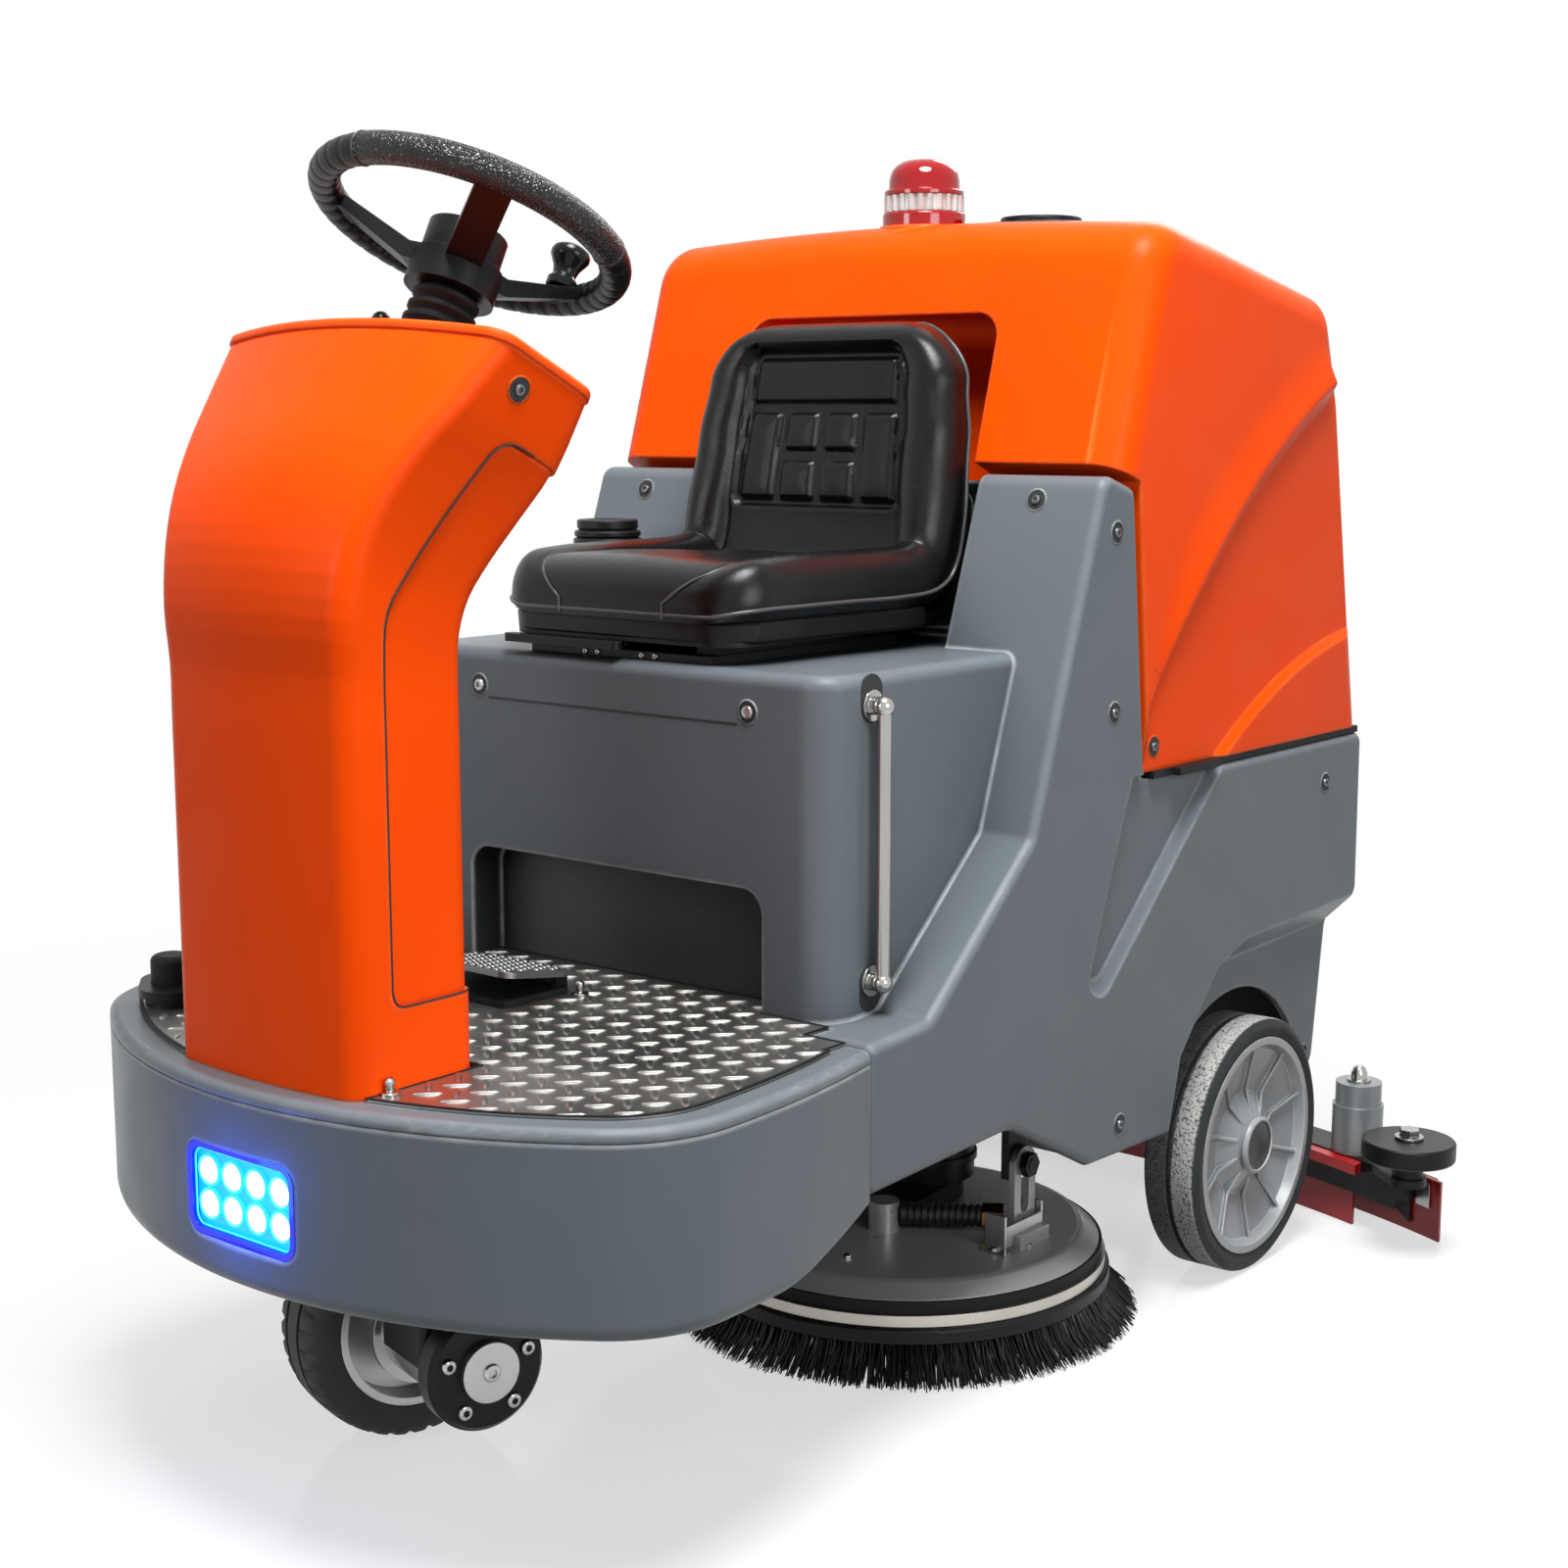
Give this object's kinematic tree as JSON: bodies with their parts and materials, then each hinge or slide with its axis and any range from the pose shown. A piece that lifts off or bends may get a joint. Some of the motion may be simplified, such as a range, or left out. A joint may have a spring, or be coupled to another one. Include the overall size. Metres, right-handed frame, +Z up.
{
  "type": "ride-on floor scrubber",
  "caption": "Ride-on floor scrubber with a steered front drive wheel, seat, recovery tank, disc brush deck and rear squeegee.",
  "frame": {"origin": "floor level under the centre of the outline", "axes": "-Y forward, +X to the operator's left, +Z up"},
  "size_m": [1.064, 1.5239, 1.282],
  "materials": {
    "chassis_frame": "powder coat",
    "front_bumper": "moulded satin",
    "platform_deck": "moulded satin",
    "tread_plate": "raised tread",
    "column_shell": "moulded gloss",
    "column_rear_cover": "moulded gloss",
    "dash_panel": "moulded gloss",
    "steering_bellows": "grained",
    "lamp_bezel": "satin",
    "lamp_leds": "lit",
    "pedal_base": "matt",
    "foot_switch_base": "satin",
    "main_body": "moulded satin",
    "back_panel": "moulded satin",
    "level_tube": "bright",
    "shell_bolts": "black oxide",
    "recovery_tank": "moulded gloss",
    "tank_seal": "satin",
    "beacon_base": "gloss",
    "beacon_ring": "clear",
    "beacon_dome": "gloss",
    "seat_base": "powder coat",
    "battery_pack": "satin",
    "vacuum_motor": "cast",
    "steering_chain": "bright",
    "steering_wheel": "grained",
    "upper_shaft": "bright",
    "horn_button": "grained",
    "spinner_knob": "grained",
    "direction_knob": "grained",
    "lower_shaft": "bright",
    "drive_fork": "cast",
    "drive_motor": "turned",
    "motor_cover": "satin",
    "front_tyre": "solid rubber",
    "front_rim": "cast",
    "left_tyre": "solid rubber",
    "left_rim": "moulded",
    "right_tyre": "solid rubber",
    "right_rim": "moulded",
    "pedal": "dimpled",
    "foot_switch_cap": "matt",
    "seat_cushion": "vinyl",
    "seat_pan": "powder coat",
    "seat_lever": "powder coat",
    "filler_cap": "grained",
    "tank_lid": "satin",
    "brush_deck": "silver paint",
    "deck_skirt": "satin",
    "deck_band": "bright",
    "brush_motor": "satin",
    "deck_hose": "ribbed",
    "hose_fitting": "turned",
    "brush_block": "moulded",
    "brush_bristles": "nylon",
    "squeegee_frame": "satin",
    "squeegee_blades": "smooth",
    "squeegee_posts": "satin",
    "left_roller": "moulded",
    "right_roller": "moulded"
  },
  "bodies": {
    "frame": {"chassis_frame": "chassis_frame", "front_bumper": "front_bumper", "platform_deck": "platform_deck", "tread_plate": "tread_plate", "column_shell": "column_shell", "column_rear_cover": "column_rear_cover", "dash_panel": "dash_panel", "steering_bellows": "steering_bellows", "lamp_bezel": "lamp_bezel", "lamp_leds": "lamp_leds", "pedal_base": "pedal_base", "foot_switch_base": "foot_switch_base", "main_body": "main_body", "back_panel": "back_panel", "level_tube": "level_tube", "shell_bolts": "shell_bolts", "recovery_tank": "recovery_tank", "tank_seal": "tank_seal", "beacon_base": "beacon_base", "beacon_ring": "beacon_ring", "beacon_dome": "beacon_dome", "seat_base": "seat_base", "battery_pack": "battery_pack", "vacuum_motor": "vacuum_motor", "steering_chain": "steering_chain"},
    "steering": {"steering_wheel": "steering_wheel", "upper_shaft": "upper_shaft"},
    "horn": {"horn_button": "horn_button"},
    "spinner": {"spinner_knob": "spinner_knob"},
    "direction": {"direction_knob": "direction_knob"},
    "lower_steering": {"lower_shaft": "lower_shaft"},
    "fork": {"drive_fork": "drive_fork", "drive_motor": "drive_motor", "motor_cover": "motor_cover"},
    "front_wheel": {"front_tyre": "front_tyre", "front_rim": "front_rim"},
    "left_wheel": {"left_tyre": "left_tyre", "left_rim": "left_rim"},
    "right_wheel": {"right_tyre": "right_tyre", "right_rim": "right_rim"},
    "drive_pedal": {"pedal": "pedal"},
    "foot_switch": {"foot_switch_cap": "foot_switch_cap"},
    "seat": {"seat_cushion": "seat_cushion", "seat_pan": "seat_pan"},
    "seat_latch": {"seat_lever": "seat_lever"},
    "filler": {"filler_cap": "filler_cap"},
    "lid": {"tank_lid": "tank_lid"},
    "deck": {"brush_deck": "brush_deck", "deck_skirt": "deck_skirt", "deck_band": "deck_band", "brush_motor": "brush_motor", "deck_hose": "deck_hose", "hose_fitting": "hose_fitting"},
    "brush": {"brush_block": "brush_block", "brush_bristles": "brush_bristles"},
    "squeegee": {"squeegee_frame": "squeegee_frame", "squeegee_blades": "squeegee_blades", "squeegee_posts": "squeegee_posts"},
    "left_guide": {"left_roller": "left_roller"},
    "right_guide": {"right_roller": "right_roller"}
  },
  "joints": [
    {"name": "fork_steer", "type": "hinge", "parent": "frame", "child": "fork", "pos_m": [0, -0.522, 0.2], "axis": [0, 0, 1], "range_deg": [-44, 60]},
    {"name": "steering_turn", "type": "hinge", "parent": "frame", "child": "steering", "pos_m": [0, -0.46, 1.165], "axis": [0, 0.4384, 0.8988], "range_deg": [-88, 120]},
    {"name": "lower_shaft_turn", "type": "hinge", "parent": "frame", "child": "lower_steering", "pos_m": [0, -0.6371, 0.5], "axis": [0, 0, 1], "range_deg": [-88, 120]},
    {"name": "front_wheel_spin", "type": "hinge", "parent": "fork", "child": "front_wheel", "pos_m": [0, -0.522, 0.118], "axis": [0.9613, -0.2756, 0], "continuous": true},
    {"name": "left_wheel_spin", "type": "hinge", "parent": "frame", "child": "left_wheel", "pos_m": [0.326, 0.43, 0.15], "axis": [1, 0, 0], "continuous": true},
    {"name": "right_wheel_spin", "type": "hinge", "parent": "frame", "child": "right_wheel", "pos_m": [-0.326, 0.43, 0.15], "axis": [1, 0, 0], "continuous": true},
    {"name": "horn_press", "type": "slide", "parent": "steering", "child": "horn", "axis": [0, -0.4384, -0.8988], "range_m": [0, 0.003], "stiffness_N_per_m": 800, "springref_m": -0.003},
    {"name": "spinner_turn", "type": "hinge", "parent": "steering", "child": "spinner", "pos_m": [0.01011, -0.35614, 1.11434], "axis": [0, 0.4384, 0.8988], "continuous": true},
    {"name": "direction_turn", "type": "hinge", "parent": "frame", "child": "direction", "pos_m": [-0.08, -0.524, 1.03378], "axis": [0, 0.4384, 0.8988], "range_deg": [-40, 40]},
    {"name": "pedal_press", "type": "hinge", "parent": "frame", "child": "drive_pedal", "pos_m": [-0.065, -0.349, 0.442], "axis": [1, 0, 0], "range_deg": [0, 8], "stiffness_Nm_per_rad": 12, "springref_deg": -6.88},
    {"name": "foot_switch_press", "type": "slide", "parent": "frame", "child": "foot_switch", "axis": [0, 0, -1], "range_m": [0, 0.006], "stiffness_N_per_m": 1500, "springref_m": -0.004},
    {"name": "seat_adjust", "type": "slide", "parent": "frame", "child": "seat", "axis": [0, -1, 0], "range_m": [0, 0.07]},
    {"name": "seat_latch_lift", "type": "hinge", "parent": "seat", "child": "seat_latch", "pos_m": [-0.02, -0.24, 0.771], "axis": [0, 0, 1], "range_deg": [0, 8], "stiffness_Nm_per_rad": 3, "springref_deg": -5.73},
    {"name": "filler_cap_lift", "type": "slide", "parent": "frame", "child": "filler", "axis": [0, 0, 1], "range_m": [0, 0.05]},
    {"name": "tank_lid_lift", "type": "slide", "parent": "frame", "child": "lid", "axis": [0, 0, 1], "range_m": [0, 0.06]},
    {"name": "deck_lift", "type": "slide", "parent": "frame", "child": "deck", "axis": [0, 0, 1], "range_m": [0, 0.045]},
    {"name": "brush_spin", "type": "hinge", "parent": "deck", "child": "brush", "pos_m": [0.095, 0.088, 0.05], "axis": [0, 0, 1], "continuous": true},
    {"name": "squeegee_lift", "type": "hinge", "parent": "frame", "child": "squeegee", "pos_m": [0, 0.59, 0.23], "axis": [1, 0, 0], "range_deg": [0, 12]},
    {"name": "left_roller_spin", "type": "hinge", "parent": "squeegee", "child": "left_guide", "pos_m": [0.477, 0.588, 0.13], "axis": [0, 0, 1], "continuous": true},
    {"name": "right_roller_spin", "type": "hinge", "parent": "squeegee", "child": "right_guide", "pos_m": [-0.477, 0.588, 0.13], "axis": [0, 0, 1], "continuous": true}
  ],
  "couplings": [
    {"joint": "steering_turn", "follows": "fork_steer", "ratio": 2},
    {"joint": "lower_shaft_turn", "follows": "fork_steer", "ratio": 2}
  ]
}
